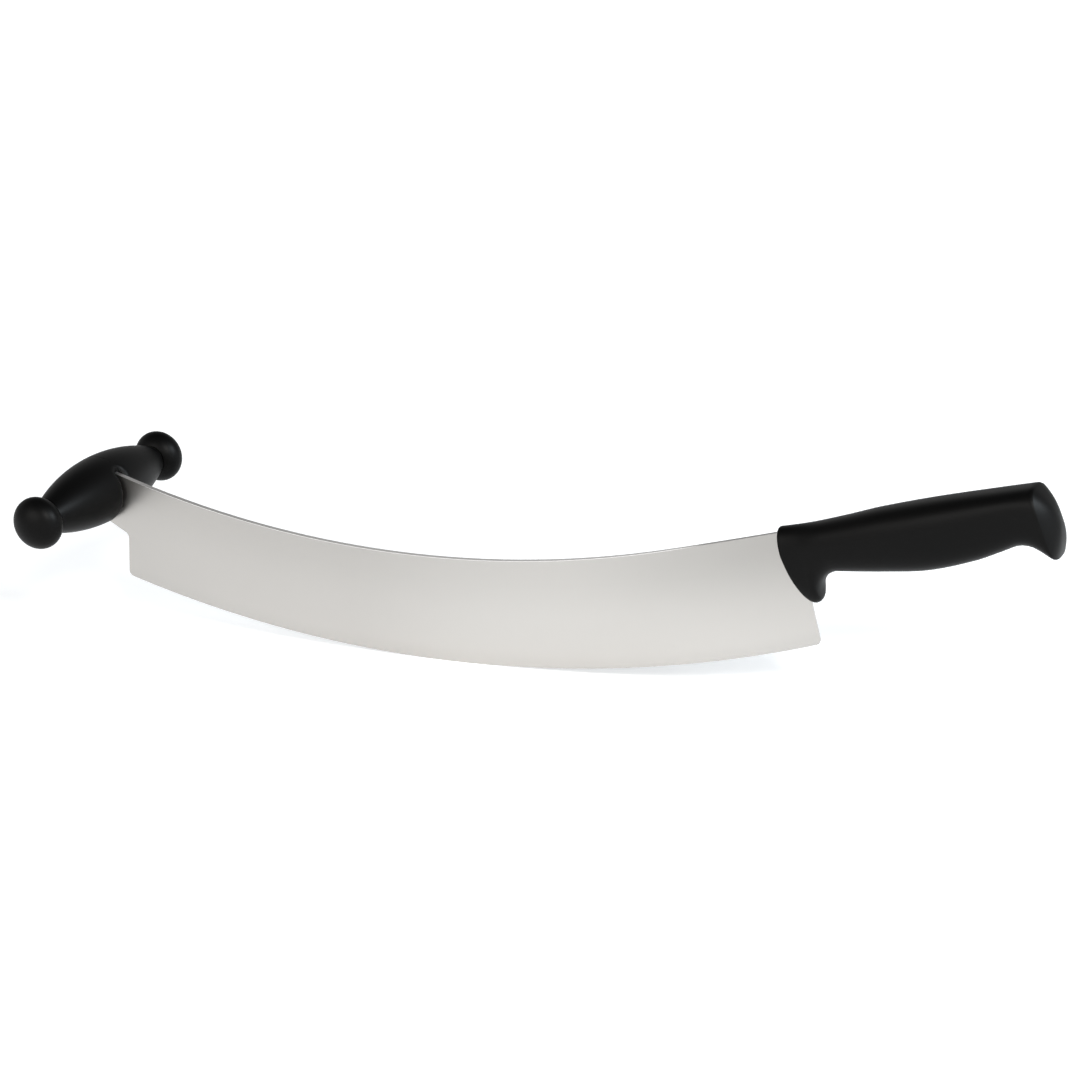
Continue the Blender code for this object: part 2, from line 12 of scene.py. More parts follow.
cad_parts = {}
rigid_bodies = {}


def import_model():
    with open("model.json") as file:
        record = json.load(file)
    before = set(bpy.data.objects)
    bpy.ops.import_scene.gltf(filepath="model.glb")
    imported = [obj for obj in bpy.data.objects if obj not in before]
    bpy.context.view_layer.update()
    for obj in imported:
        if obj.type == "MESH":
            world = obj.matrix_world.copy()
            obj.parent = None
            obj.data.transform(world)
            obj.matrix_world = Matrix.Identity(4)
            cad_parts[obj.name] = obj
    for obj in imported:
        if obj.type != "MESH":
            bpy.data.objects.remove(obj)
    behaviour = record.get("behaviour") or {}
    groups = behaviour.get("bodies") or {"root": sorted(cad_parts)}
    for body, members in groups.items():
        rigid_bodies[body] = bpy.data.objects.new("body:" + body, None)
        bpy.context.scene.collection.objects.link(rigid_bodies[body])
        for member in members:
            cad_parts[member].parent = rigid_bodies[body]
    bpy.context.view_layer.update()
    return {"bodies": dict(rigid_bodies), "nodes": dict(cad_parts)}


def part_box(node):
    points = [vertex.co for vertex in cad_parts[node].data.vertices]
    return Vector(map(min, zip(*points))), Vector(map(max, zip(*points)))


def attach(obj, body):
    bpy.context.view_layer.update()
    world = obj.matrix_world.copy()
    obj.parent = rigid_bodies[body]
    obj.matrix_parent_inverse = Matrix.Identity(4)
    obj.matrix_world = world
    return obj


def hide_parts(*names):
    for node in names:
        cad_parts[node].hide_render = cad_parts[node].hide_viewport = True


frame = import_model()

nodes = frame["nodes"]
studLow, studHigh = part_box("cross_stud")
axisX = (studLow.x + studHigh.x) / 2    # the cross handle's axis runs along Y through here
axisZ = (studLow.z + studHigh.z) / 2
print("frame loaded:", ", ".join(sorted(nodes)))


# Modelling helpers

def deselectAll():
    if bpy.context.object and bpy.context.object.mode != "OBJECT":
        bpy.ops.object.mode_set(mode="OBJECT")
    bpy.ops.object.select_all(action="DESELECT")


def selectOnly(piece):
    deselectAll()
    piece.select_set(True)
    bpy.context.view_layer.objects.active = piece


def enterEdit(piece):
    selectOnly(piece)
    bpy.ops.object.mode_set(mode="EDIT")


def leaveEdit():
    bpy.ops.object.mode_set(mode="OBJECT")


def applyPlace():
    # Moves the active piece's place, turn and size into its mesh
    bpy.ops.object.transform_apply(location=True, rotation=True, scale=True)


def selectVertices(piece, wanted):
    # Selects the vertices that the test accepts, and the edges and faces between them
    mesh = bmesh.from_edit_mesh(piece.data)
    for vertex in mesh.verts:
        vertex.select = wanted(vertex.co)
    mesh.select_flush_mode()
    mesh.select_flush(True)
    mesh.select_flush(False)
    bmesh.update_edit_mesh(piece.data)


def applyLastModifier(piece):
    selectOnly(piece)
    bpy.ops.object.modifier_apply(modifier=piece.modifiers[-1].name)


edgeEasing = {"segments": 2, "fromAngle": math.radians(50)}


def easeEdges(piece, width):
    bevel = piece.modifiers.new("easedEdges", "BEVEL")
    bevel.width = width
    bevel.segments = edgeEasing["segments"]
    bevel.limit_method = "ANGLE"
    bevel.angle_limit = edgeEasing["fromAngle"]
    applyLastModifier(piece)


def cutWith(piece, cutter, operation):
    cut = piece.modifiers.new("cut", "BOOLEAN")
    cut.operation = operation
    cut.solver = "EXACT"
    cut.object = cutter
    applyLastModifier(piece)
    bpy.data.objects.remove(cutter, do_unlink=True)


outlineCutter = {"thickening": 4, "weld": 0.000005}


def thickOutline(growth):
    # The blade's outline, much thicker than the blade and grown about the cross handle's axis
    cutter = nodes["blade"].copy()
    cutter.data = nodes["blade"].data.copy()
    bpy.context.scene.collection.objects.link(cutter)
    cutter.parent = None
    centre = Vector((axisX, 0, axisZ))
    scale = Matrix.Diagonal((growth, outlineCutter["thickening"], growth, 1))
    cutter.matrix_world = Matrix.Translation(centre) @ scale @ Matrix.Translation(-centre)
    selectOnly(cutter)
    applyPlace()
    enterEdit(cutter)
    bpy.ops.mesh.select_all(action="SELECT")
    bpy.ops.mesh.remove_doubles(threshold=outlineCutter["weld"])
    leaveEdit()
    return cutter


def settle(piece, name, sharpAngle=math.radians(35)):
    # Puts the piece's origin at the world's, names it and shades it smooth but for its creases
    selectOnly(piece)
    applyPlace()
    bpy.ops.object.shade_smooth_by_angle(angle=sharpAngle)
    piece.name = name
    piece.data.name = name


def finish(piece, material, node):
    # The piece stands for its CAD node and rides on the knife's one body
    piece.data.materials.clear()
    piece.data.materials.append(material)
    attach(piece, bodyName)
    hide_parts(node)


bodyName = list(frame["bodies"])[0]


# Shader helpers: sockets that add and multiply like numbers, and one method for any other node

class Value:
    def __init__(self, maker, socket):
        self.maker = maker
        self.socket = socket

    def join(self, operation, first, second):
        return self.maker.node("ShaderNodeMath", {"operation": operation}, {0: first, 1: second})

    def __add__(self, other):
        return self.join("ADD", self, other)

    def __radd__(self, other):
        return self.join("ADD", other, self)

    def __sub__(self, other):
        return self.join("SUBTRACT", self, other)

    def __rsub__(self, other):
        return self.join("SUBTRACT", other, self)

    def __mul__(self, other):
        return self.join("MULTIPLY", self, other)

    def __rmul__(self, other):
        return self.join("MULTIPLY", other, self)

    def __truediv__(self, other):
        return self.join("DIVIDE", self, other)

    def __pow__(self, other):
        return self.join("POWER", self, other)


class Maker:
    def __init__(self, owner):
        self.tree = owner.node_tree
        self.tree.nodes.clear()

    def node(self, kind, settings=None, inputs=None, output=0):
        made = self.tree.nodes.new(kind)
        for setting, value in (settings or {}).items():
            setattr(made, setting, value)
        for place, value in (inputs or {}).items():
            if isinstance(value, Value):
                self.tree.links.new(value.socket, made.inputs[place])
            else:
                made.inputs[place].default_value = value
        return Value(self, made.outputs[output]) if made.outputs else None


def newMaterial(name):
    material = bpy.data.materials.new(name)
    material.use_nodes = True
    return material, Maker(material)


# Studio: camera, floor, world and lamps

camera = {
    "place": (0.8403, -1.1478, 0.4435),     # from the cross handle's axis
    "turn": math.radians(27.58),    # to the left of looking along Y
    "dip": math.radians(19.15),     # below level
    "roll": math.radians(-4.55),
    "lens": 100,
    "sensor": 36,
}
floor = {
    "size": 16.0,
    "colour": (0.86, 0.86, 0.86, 1),
    "nearGlow": 0.36,               # round the knife, where the lamps reach the floor as well
    "farGlow": 0.92,
    "near": 0.35,                   # distances from the middle of the knife
    "far": 1.7,
}
world = {
    "horizon": (0.55, 0.55, 0.55, 1),
    "overhead": (0.05, 0.05, 0.055, 1),
    "low": 0.35,                    # sines of the heights where the fade starts and ends
    "high": 0.80,
}
lamps = {
    "frontLamp": {
        "place": (-0.7, -2.2, 1.1), "size": (1.8, 1.1), "power": 29.0,
        "colour": (1.0, 0.98, 0.95)},
    "rightLamp": {
        "place": (1.2, -1.3, 1.3), "size": (0.45, 0.45), "power": 28.0,
        "colour": (1.0, 0.985, 0.96)},
    "backLamp": {
        "place": (2.0, -0.05, 1.15), "size": (0.95, 0.5), "power": 56.0,
        "colour": (0.86, 0.94, 1.0)},
}
lampAim = Vector((0.0, 0.0, 0.06))


def addCamera():
    place = Vector((axisX, 0, axisZ)) + Vector(camera["place"])
    bpy.ops.object.camera_add()
    made = bpy.context.object
    turn = Matrix.Rotation(camera["turn"], 4, "Z")
    dip = Matrix.Rotation(math.pi / 2 - camera["dip"], 4, "X")
    roll = Matrix.Rotation(camera["roll"], 4, "Z")
    made.matrix_world = Matrix.Translation(place) @ turn @ dip @ roll
    made.data.lens = camera["lens"]
    made.data.sensor_width = camera["sensor"]
    bpy.context.scene.camera = made


def addFloor():
    bpy.ops.mesh.primitive_plane_add(size=floor["size"])
    made = bpy.context.object
    made.name = "floor"
    material, maker = newMaterial("paleFloor")
    path = "ShaderNodeLightPath"
    seen = maker.node(path, output="Is Camera Ray") + maker.node(path, output="Is Glossy Ray")
    seen = seen + maker.node(path, output="Is Transmission Ray")
    place = maker.node("ShaderNodeTexCoord", output="Object")
    distance = maker.node("ShaderNodeVectorMath", {"operation": "LENGTH"}, {0: place}, "Value")
    strength = maker.node("ShaderNodeMapRange", inputs={
        "Value": distance, "From Min": floor["near"], "From Max": floor["far"],
        "To Min": floor["nearGlow"], "To Max": floor["farGlow"]})
    glow = maker.node("ShaderNodeEmission", inputs={"Strength": seen * strength})
    matte = maker.node("ShaderNodeBsdfDiffuse", inputs={"Color": floor["colour"]})
    both = maker.node("ShaderNodeAddShader", inputs={0: glow, 1: matte})
    maker.node("ShaderNodeOutputMaterial", inputs={"Surface": both})
    made.data.materials.append(material)


def lightWorld():
    # Pale all round the horizon, as inside a white sweep, and dark overhead
    made = bpy.data.worlds.new("studio")
    made.use_nodes = True
    bpy.context.scene.world = made
    maker = Maker(made)
    direction = maker.node("ShaderNodeTexCoord", output="Generated")
    height = maker.node("ShaderNodeSeparateXYZ", inputs={0: direction}, output="Z")
    rise = maker.node("ShaderNodeMapRange", {"interpolation_type": "SMOOTHSTEP"}, {
        "Value": height, "From Min": world["low"], "From Max": world["high"]})
    colour = maker.node("ShaderNodeMix", {"data_type": "RGBA"}, {
        0: rise, 6: world["horizon"], 7: world["overhead"]}, output=2)
    background = maker.node("ShaderNodeBackground", inputs={"Color": colour})
    maker.node("ShaderNodeOutputWorld", inputs={"Surface": background})


def addLamps():
    for name, lamp in lamps.items():
        bpy.ops.object.light_add(type="AREA", location=lamp["place"])
        made = bpy.context.object
        made.name = name
        made.data.shape = "RECTANGLE"
        made.data.size, made.data.size_y = lamp["size"]
        made.data.energy = lamp["power"]
        made.data.color = lamp["colour"]
        away = Vector(lamp["place"]) - lampAim
        made.rotation_euler = away.to_track_quat("Z", "Y").to_euler()


addCamera()
addFloor()
lightWorld()
addLamps()
bpy.context.scene.view_settings.view_transform = "Standard"
print("studio ready")


# Finishes. Every pattern lies in the knife's own metres.

steelFinish = {
    "colour": (0.474, 0.457, 0.437, 1),
    "paintedHighlightColour": (0.520, 0.503, 0.481, 1),    # painted highlight: the lighter colour where a lamp's reflection is painted along the blade
    "paintedHighlightPlace": 0.262,            # along the blade, from the cross handle's axis
    "paintedHighlightReach": 0.125,
    "spinePaintedShade": 0.09,              # painted shade: how much darker the blade is painted below the spine
    "spineShadeRise": (0.022, 0.052),    # heights above the edge between which that sets in
    "rearLoss": 0.20,               # painted shade, as below the spine, towards the rear handle
    "rearShadeReach": (0.235, 0.365),
    "rearShadeRise": (0.004, 0.050),
    # painted shade along the cutting edge
    "edgePaintedShade": 0.03,
    "edgeShadeRise": (0.002, 0.008),
    "spinePaintedLightColour": (0.80, 0.785, 0.765, 1),     # painted light: the spine's upward face is painted much lighter than the blade
    "spineLightBand": (0.00008, 0.0003),             # below the spine, over which its colour ends
    "baseTone": 0.98,
    "toneSpread": 0.03,             # that the grain and the clouds add each
    "cloudScale": 22.0,
    "roughness": 0.28,              # before the grain and the clouds add to it
    "grainRoughness": 0.06,
    "cloudRoughness": 0.04,
    "lineSpacing": 0.00022,         # between the satin grinding lines, which run from spine to edge
    "lineLength": 0.012,
    "lineDepth": 0.000004,
    "lineStrength": 0.5,
}
edgeArc = {"centre": (0.1925, 0.546622), "radius": 0.617822}    # from the cross handle's axis
spineArc = {"centre": (0.183092, 0.5234), "radius": 0.5425}


def spread(maker, value, low, high):
    # 0 below low and 1 above high, with a soft run between them
    return maker.node("ShaderNodeMapRange", {"interpolation_type": "SMOOTHSTEP"}, {
        "Value": value, "From Min": low, "From Max": high})


def outsideArc(along, up, arc):
    # How far outside an arc of the blade a point lies
    across = along - (axisX + arc["centre"][0])
    below = up - (axisZ + arc["centre"][1])
    return (across * across + below * below) ** 0.5 - arc["radius"]


def makeBladeSteel():
    material, maker = newMaterial("satinSteel")
    place = maker.node("ShaderNodeTexCoord", output="Object")
    along = maker.node("ShaderNodeSeparateXYZ", inputs={0: place}, output="X")
    up = maker.node("ShaderNodeSeparateXYZ", inputs={0: place}, output="Z")
    height = 0 - outsideArc(along, up, edgeArc)
    stretch = (1 / steelFinish["lineSpacing"], 1, 1 / steelFinish["lineLength"])
    lines = maker.node("ShaderNodeMapping", {"vector_type": "POINT"}, {
        "Vector": place, "Scale": stretch})
    grain = maker.node("ShaderNodeTexNoise", {"noise_dimensions": "3D"}, {
        "Vector": lines, "Scale": 1.0, "Detail": 2.0, "Roughness": 0.6})
    cloud = maker.node("ShaderNodeTexNoise", {"noise_dimensions": "3D"}, {
        "Vector": place, "Scale": steelFinish["cloudScale"], "Detail": 3.0, "Roughness": 0.5})
    # Painted highlight: the steel's colour is lighter about one place along the blade
    fromPaintedHighlight = (along - (axisX + steelFinish["paintedHighlightPlace"])) / steelFinish["paintedHighlightReach"]
    paintedHighlight = 1 - spread(maker, fromPaintedHighlight * fromPaintedHighlight, 0.0, 1.0)
    colour = maker.node("ShaderNodeMix", {"data_type": "RGBA"}, {
        0: paintedHighlight, 6: steelFinish["colour"], 7: steelFinish["paintedHighlightColour"]}, output=2)
    # Painted shade towards the rear handle
    rearShadeStart, rearShadeEnd = steelFinish["rearShadeReach"]
    rear = spread(maker, along, axisX + rearShadeStart, axisX + rearShadeEnd)
    rear = rear * spread(maker, height, *steelFinish["rearShadeRise"])
    # Painted shade: darker below the spine, towards the rear handle and along the edge
    paintedShade = steelFinish["spinePaintedShade"] * spread(maker, height, *steelFinish["spineShadeRise"])
    paintedShade = paintedShade + steelFinish["rearLoss"] * rear
    paintedShade = paintedShade + steelFinish["edgePaintedShade"] * (1 - spread(maker, height, *steelFinish["edgeShadeRise"]))
    tone = steelFinish["baseTone"] + steelFinish["toneSpread"] * cloud
    tone = tone + steelFinish["toneSpread"] * grain
    paintedShadeAndTone = (1 - paintedShade) * tone
    colour = maker.node("ShaderNodeVectorMath", {"operation": "SCALE"}, {0: colour, "Scale": paintedShadeAndTone})
    # Painted light: the spine's upward face gets a lighter colour
    paintedSpineLight = 1 - spread(maker, outsideArc(along, up, spineArc), *steelFinish["spineLightBand"])
    colour = maker.node("ShaderNodeMix", {"data_type": "RGBA"}, {
        0: paintedSpineLight, 6: colour, 7: steelFinish["spinePaintedLightColour"]}, output=2)
    roughness = steelFinish["roughness"] + steelFinish["grainRoughness"] * grain
    roughness = roughness + steelFinish["cloudRoughness"] * cloud
    relief = maker.node("ShaderNodeBump", inputs={
        "Height": grain, "Strength": steelFinish["lineStrength"],
        "Distance": steelFinish["lineDepth"]})
    surface = maker.node("ShaderNodeBsdfPrincipled", inputs={
        "Base Color": colour, "Metallic": 1.0, "Roughness": roughness, "Normal": relief})
    maker.node("ShaderNodeOutputMaterial", inputs={"Surface": surface})
    return material


plasticFinish = {
    "colour": (0.0012, 0.0012, 0.0012, 1),
    "wornColour": (0.0019, 0.0018, 0.0017, 1),
    "roughness": 0.38,              # before the pitting and the clouds add to it
    "pittingRoughness": 0.03,
    "cloudRoughness": 0.07,
    "cloudScale": 55.0,
    "ior": 1.18,
    "grainSize": 0.0005,            # of the fine pitting that the mould leaves
    "grainDepth": 0.00002,
    "seamWidth": 0.00025,           # of the faint ridge where the mould's halves met
    "seamHeight": 0.00003,
    "reliefStrength": 0.4,
}


def makeHandlePlastic(name, seamAxis, seamPlace):
    # seamAxis names the direction across the mould's parting plane
    material, maker = newMaterial(name)
    place = maker.node("ShaderNodeTexCoord", output="Object")
    pitting = maker.node("ShaderNodeTexNoise", {"noise_dimensions": "3D"}, {
        "Vector": place, "Scale": 1 / plasticFinish["grainSize"], "Detail": 1.5, "Roughness": 0.5})
    cloud = maker.node("ShaderNodeTexNoise", {"noise_dimensions": "3D"}, {
        "Vector": place, "Scale": plasticFinish["cloudScale"], "Detail": 4.0, "Roughness": 0.55})
    across = maker.node("ShaderNodeSeparateXYZ", inputs={0: place}, output=seamAxis)
    offset = maker.node("ShaderNodeMath", {"operation": "ABSOLUTE"}, {0: across - seamPlace})
    seam = maker.node("ShaderNodeMapRange", {"interpolation_type": "SMOOTHSTEP"}, {
        "Value": offset, "From Min": 0.0, "From Max": plasticFinish["seamWidth"],
        "To Min": 1.0, "To Max": 0.0})
    colour = maker.node("ShaderNodeMix", {"data_type": "RGBA"}, {
        0: cloud, 6: plasticFinish["colour"], 7: plasticFinish["wornColour"]}, output=2)
    roughness = plasticFinish["roughness"] + plasticFinish["cloudRoughness"] * cloud
    roughness = roughness + plasticFinish["pittingRoughness"] * pitting
    surfaceHeight = pitting * plasticFinish["grainDepth"] + seam * plasticFinish["seamHeight"]
    relief = maker.node("ShaderNodeBump", inputs={
        "Height": surfaceHeight, "Strength": plasticFinish["reliefStrength"], "Distance": 1.0})
    surface = maker.node("ShaderNodeBsdfPrincipled", inputs={
        "Base Color": colour, "Roughness": roughness,
        "IOR": plasticFinish["ior"], "Normal": relief})
    maker.node("ShaderNodeOutputMaterial", inputs={"Surface": surface})
    return material


fittingFinish = {
    "studColour": (0.55, 0.55, 0.56, 1),
    "brassColour": (0.72, 0.52, 0.24, 1),
    "dullShare": 0.75,
    "roughness": 0.30,
    "spotRoughness": 0.15,          # that the dull spots add
    "grainSize": 0.0008,
}


def makeFittingMetal(name, bright):
    material, maker = newMaterial(name)
    place = maker.node("ShaderNodeTexCoord", output="Object")
    spots = maker.node("ShaderNodeTexNoise", {"noise_dimensions": "3D"}, {
        "Vector": place, "Scale": 1 / fittingFinish["grainSize"], "Detail": 2.0})
    dull = tuple(part * fittingFinish["dullShare"] for part in bright[:3]) + (1,)
    colour = maker.node("ShaderNodeMix", {"data_type": "RGBA"}, {
        0: spots, 6: bright, 7: dull}, output=2)
    roughness = fittingFinish["roughness"] + fittingFinish["spotRoughness"] * spots
    surface = maker.node("ShaderNodeBsdfPrincipled", inputs={
        "Base Color": colour, "Metallic": 1.0, "Roughness": roughness})
    maker.node("ShaderNodeOutputMaterial", inputs={"Surface": surface})
    return material


bladeSteel = makeBladeSteel()
gripPlastic = makeHandlePlastic("gripPlastic", "Y", 0.0)
barrelPlastic = makeHandlePlastic("barrelPlastic", "X", axisX)
studSteel = makeFittingMetal("studSteel", fittingFinish["studColour"])
insertBrass = makeFittingMetal("insertBrass", fittingFinish["brassColour"])
print("finishes ready")


# Cross handle: turned forms about the axis. A profile's stops are (radius, distance from the
# blade's middle plane).

turning = {"weld": 0.00001}


def turnPiece(side, profile, around, bored):
    # side is -1 for the near piece and 1 for the far one
    deselectAll()
    radius, distance = profile[0]
    bpy.ops.mesh.primitive_circle_add(
        vertices=around, radius=radius, fill_type="NOTHING" if bored else "TRIFAN",
        location=(axisX, side * distance, axisZ), rotation=(math.pi / 2, 0, 0))
    piece = bpy.context.object
    applyPlace()
    enterEdit(piece)
    bpy.ops.mesh.select_all(action="SELECT")
    for nextRadius, nextDistance in profile[1:]:
        step = side * (nextDistance - distance)
        bpy.ops.mesh.extrude_region_move(TRANSFORM_OT_translate={"value": (0, step, 0)})
        grow = nextRadius / radius
        middle = (axisX, side * nextDistance, axisZ)
        bpy.ops.transform.resize(value=(grow, 1, grow), center_override=middle)
        radius, distance = nextRadius, nextDistance
    bpy.ops.mesh.select_all(action="SELECT")
    bpy.ops.mesh.remove_doubles(threshold=turning["weld"])
    bpy.ops.mesh.normals_make_consistent(inside=False)
    leaveEdit()
    return piece


barrel = {
    "radius": 0.0164,
    "bowRadius": 0.120,
    "seam": 0.00004,                # where the halves meet, away from the blade
    "start": 0.00155,               # the wall beside the blade
    "end": 0.0451,
    "bore": 0.0033,
    "steps": 30,
    "around": 144,
    "easing": 0.00010,
    "seamBand": 3,                  # in breadths of the eased edge
    "rimRounding": 0.0040,          # beside the blade only
    "rimSteps": 10,
    "mouth": (math.radians(-78), math.radians(34)),     # where the blade leaves, about the axis
    "mouthFades": (math.radians(40), math.radians(17)),     # of the rounding, below and above it
    "pocketRadius": 0.0123,
    "slotGrowth": 1.012,            # of the slot that the blade leaves through, about the axis
    "slotBlock": 4,                 # breadth of the block it is made from, in barrel radii
    "flatAngle": math.radians(0.01),
    "weld": 0.0000003,
}
rimStart = barrel["start"] + barrel["rimRounding"]


def barrelProfile():
    stops = []
    for step in range(barrel["steps"] + 1):
        stops.append(barrel["end"] - (barrel["end"] - rimStart) * step / barrel["steps"])
    for step in range(1, barrel["rimSteps"] + 1):
        inward = math.sin(math.pi / 2 * step / barrel["rimSteps"])
        stops.append(rimStart - barrel["rimRounding"] * inward)
    # A narrow band before the seam keeps the eased edge's shading off the rest of the barrel
    stops += [barrel["seam"] + barrel["seamBand"] * barrel["easing"], barrel["seam"]]
    profile = [(barrel["bore"], barrel["end"])]
    for distance in stops:
        drop = barrel["bowRadius"] - math.sqrt(barrel["bowRadius"] ** 2 - distance ** 2)
        profile.append((barrel["radius"] - drop, distance))
    return profile + [(barrel["bore"], barrel["seam"]), (barrel["bore"], barrel["end"])]


def roundingShare(angle):
    low, high = barrel["mouth"]
    turned = math.remainder(angle - (low + high) / 2, 2 * math.pi)
    fade = barrel["mouthFades"][0 if turned < 0 else 1]
    faded = min(max((abs(turned) - (high - low) / 2) / fade, 0), 1)
    return 1 - faded * faded * (3 - 2 * faded)


def drawRimIn(piece):
    # Rounds the rim off beside the blade
    for vertex in piece.data.vertices:
        across = vertex.co.x - axisX
        up = vertex.co.z - axisZ
        radius = math.hypot(across, up)
        inward = min(rimStart - abs(vertex.co.y), barrel["rimRounding"])
        if inward > 0 and radius > 2 * barrel["bore"]:
            drop = barrel["rimRounding"] - math.sqrt(barrel["rimRounding"] ** 2 - inward ** 2)
            share = 1 - drop * roundingShare(math.atan2(up, across)) / radius
            vertex.co.x = axisX + across * share
            vertex.co.z = axisZ + up * share


def lugPocket():
    # The round hollow that holds the blade's lug
    deselectAll()
    bpy.ops.mesh.primitive_cylinder_add(
        vertices=barrel["around"], radius=barrel["pocketRadius"], depth=2 * barrel["start"],
        location=(axisX, 0, axisZ), rotation=(math.pi / 2, 0, 0))
    return bpy.context.object


def bladeSlot():
    # The slot that the rest of the blade leaves through
    deselectAll()
    bpy.ops.mesh.primitive_cube_add(size=1, location=(axisX, 0, axisZ))
    slot = bpy.context.object
    breadth = barrel["slotBlock"] * barrel["radius"]
    slot.scale = (breadth, 2 * barrel["start"], breadth)
    applyPlace()
    cutWith(slot, thickOutline(barrel["slotGrowth"]), "INTERSECT")
    return slot


def mergeFlats(piece):
    # Takes out the slivers that a cut leaves in flat faces
    enterEdit(piece)
    bpy.ops.mesh.select_all(action="SELECT")
    bpy.ops.mesh.dissolve_limited(angle_limit=barrel["flatAngle"])
    bpy.ops.mesh.select_all(action="SELECT")
    bpy.ops.mesh.remove_doubles(threshold=barrel["weld"])
    leaveEdit()


knob = {
    "radius": 0.01285,
    "halfThickness": 0.0089,
    "seat": 0.0454,                 # the face against the barrel
    "seatRadius": 0.0074,
    "tipRadius": 0.0002,            # of the small flat that closes the ball's end
    "socketRadius": 0.0049,
    "socketDepth": 0.0096,
    "steps": 30,
    "around": 96,
    "easing": 0.0003,
}


def knobProfile():
    seatAngle = math.asin(knob["seatRadius"] / knob["radius"])
    centre = knob["seat"] + knob["halfThickness"] * math.cos(seatAngle)
    profile = []
    for step in range(1, knob["steps"] + 1):
        angle = (math.pi - seatAngle) * step / knob["steps"]
        distance = centre + knob["halfThickness"] * math.cos(angle)
        profile.append((knob["radius"] * math.sin(angle), distance))
    tip = (knob["tipRadius"], centre + knob["halfThickness"])
    socketMouth = (knob["socketRadius"], knob["seat"])
    socketEnd = (knob["socketRadius"], knob["seat"] + knob["socketDepth"])
    return [tip] + profile + [socketMouth, socketEnd]


for side, nearOrFar in ((-1, "near"), (1, "far")):
    barrelHalf = turnPiece(side, barrelProfile(), barrel["around"], True)
    easeEdges(barrelHalf, barrel["easing"])
    drawRimIn(barrelHalf)
    hollow = bladeSlot()
    cutWith(hollow, lugPocket(), "UNION")
    cutWith(barrelHalf, hollow, "DIFFERENCE")
    mergeFlats(barrelHalf)
    settle(barrelHalf, "barrel_" + nearOrFar)
    finish(barrelHalf, barrelPlastic, "front_grip_" + nearOrFar)
    endKnob = turnPiece(side, knobProfile(), knob["around"], False)
    easeEdges(endKnob, knob["easing"])
    settle(endKnob, "knob_" + nearOrFar)
    finish(endKnob, barrelPlastic, "front_knob_" + nearOrFar)
print("cross handle ready")


# Rear handle: a loft through cross sections. Its frame starts at the top of its front face.

grip = {
    "start": (0.3589, 0.010202),    # from the cross handle's axis
    "tilt": math.radians(13.6),
    "length": 0.1203,
    "frontBow": 0.0023,
    "frontPower": 2.4,              # of the superellipse: 2 gives an ellipse, more is squarer
    "pommelPower": 3.2,
    "dome": 0.0056,
    "domeShares": (0.965, 0.92, 0.86, 0.78, 0.68, 0.56, 0.43, 0.30, 0.17, 0.06),
    "frontRounding": 0.0007,
    "frontRoundingSteps": 3,
    "pommelRounding": 0.0012,
    "pommelRoundingSteps": 4,
    "cornerSteps": 12,
    "cornerWeld": 0.0001,           # in the drawn square, before it gets its size
    "noseSteps": 8,
    "backSteps": 8,
    "gripSteps": 40,
    "guardReach": 0.0089,
    "guardDepth": 0.0366,
    "guardNose": 0.0030,
    "topLine": ((0.0, 0.0), (0.0166, -0.0006), (0.0316, -0.00005), (0.0486, 0.00095),
                (0.0770, 0.0012), (0.1203, 0.0002)),
    "underside": ((0.0226, -0.0233), (0.0436, -0.0264), (0.0656, -0.0288), (0.0876, -0.0276),
                  (0.1006, -0.0253), (0.1091, -0.0239), (0.1156, -0.0262), (0.1229, -0.0331)),
    "halfWidths": ((0.0, 0.0074), (0.0226, 0.0098), (0.0656, 0.0123), (0.1091, 0.0114),
                   (0.1203, 0.0119)),
}
notch = grip["underside"][0]
beak = grip["underside"][-1]


def smoothThrough(stops, place):
    # A smooth curve through (place, value) stops
    index = 0
    while index < len(stops) - 2 and place > stops[index + 1][0]:
        index += 1
    slopes = []
    for middle in (index, index + 1):
        before = stops[max(middle - 1, 0)]
        after = stops[min(middle + 1, len(stops) - 1)]
        slopes.append((after[1] - before[1]) / (after[0] - before[0]))
    span = stops[index + 1][0] - stops[index][0]
    share = (place - stops[index][0]) / span
    rest = 1 - share
    value = stops[index][1] * rest * rest * (1 + 2 * share)
    value += stops[index + 1][1] * share * share * (3 - 2 * share)
    return value + span * share * rest * (slopes[0] * rest - slopes[1] * share)


def fromGrip(along, up):
    x = axisX + grip["start"][0] + math.cos(grip["tilt"]) * along - math.sin(grip["tilt"]) * up
    z = axisZ + grip["start"][1] + math.sin(grip["tilt"]) * along + math.cos(grip["tilt"]) * up
    return Vector((x, 0, z))


def guardFeet():
    # The guard's lower line, round its nose and up its hollow back to the notch
    noseSteps, backSteps = grip["noseSteps"], grip["backSteps"]
    nose = grip["guardNose"]
    lean = math.atan2(grip["guardReach"] - nose, grip["guardDepth"])
    feet = []
    for step in range(noseSteps + 1):
        angle = math.pi + lean + (math.pi - lean) * step / noseSteps
        feet.append((grip["guardReach"] + nose * math.cos(angle),
                     nose - grip["guardDepth"] + nose * math.sin(angle)))
    backStart = feet[-1]
    for step in range(1, backSteps):
        angle = math.pi / 2 * step / backSteps
        feet.append((backStart[0] + (notch[0] - backStart[0]) * (1 - math.cos(angle)),
                     backStart[1] + (notch[1] - backStart[1]) * math.sin(angle)))
    return feet


def gripSections():
    # Each section's top place, foot, and how much of the front face's bow it has
    feet = guardFeet()
    sections = []
    for index, foot in enumerate(feet):
        share = index / len(feet)
        sections.append((notch[0] * share, foot, grip["frontBow"] * (1 - share) ** 2))
    for step in range(grip["gripSteps"] + 1):
        share = step / grip["gripSteps"]
        footPlace = notch[0] + (beak[0] - notch[0]) * share
        foot = (footPlace, smoothThrough(grip["underside"], footPlace))
        sections.append((notch[0] + (grip["length"] - notch[0]) * share, foot, 0.0))
    return sections


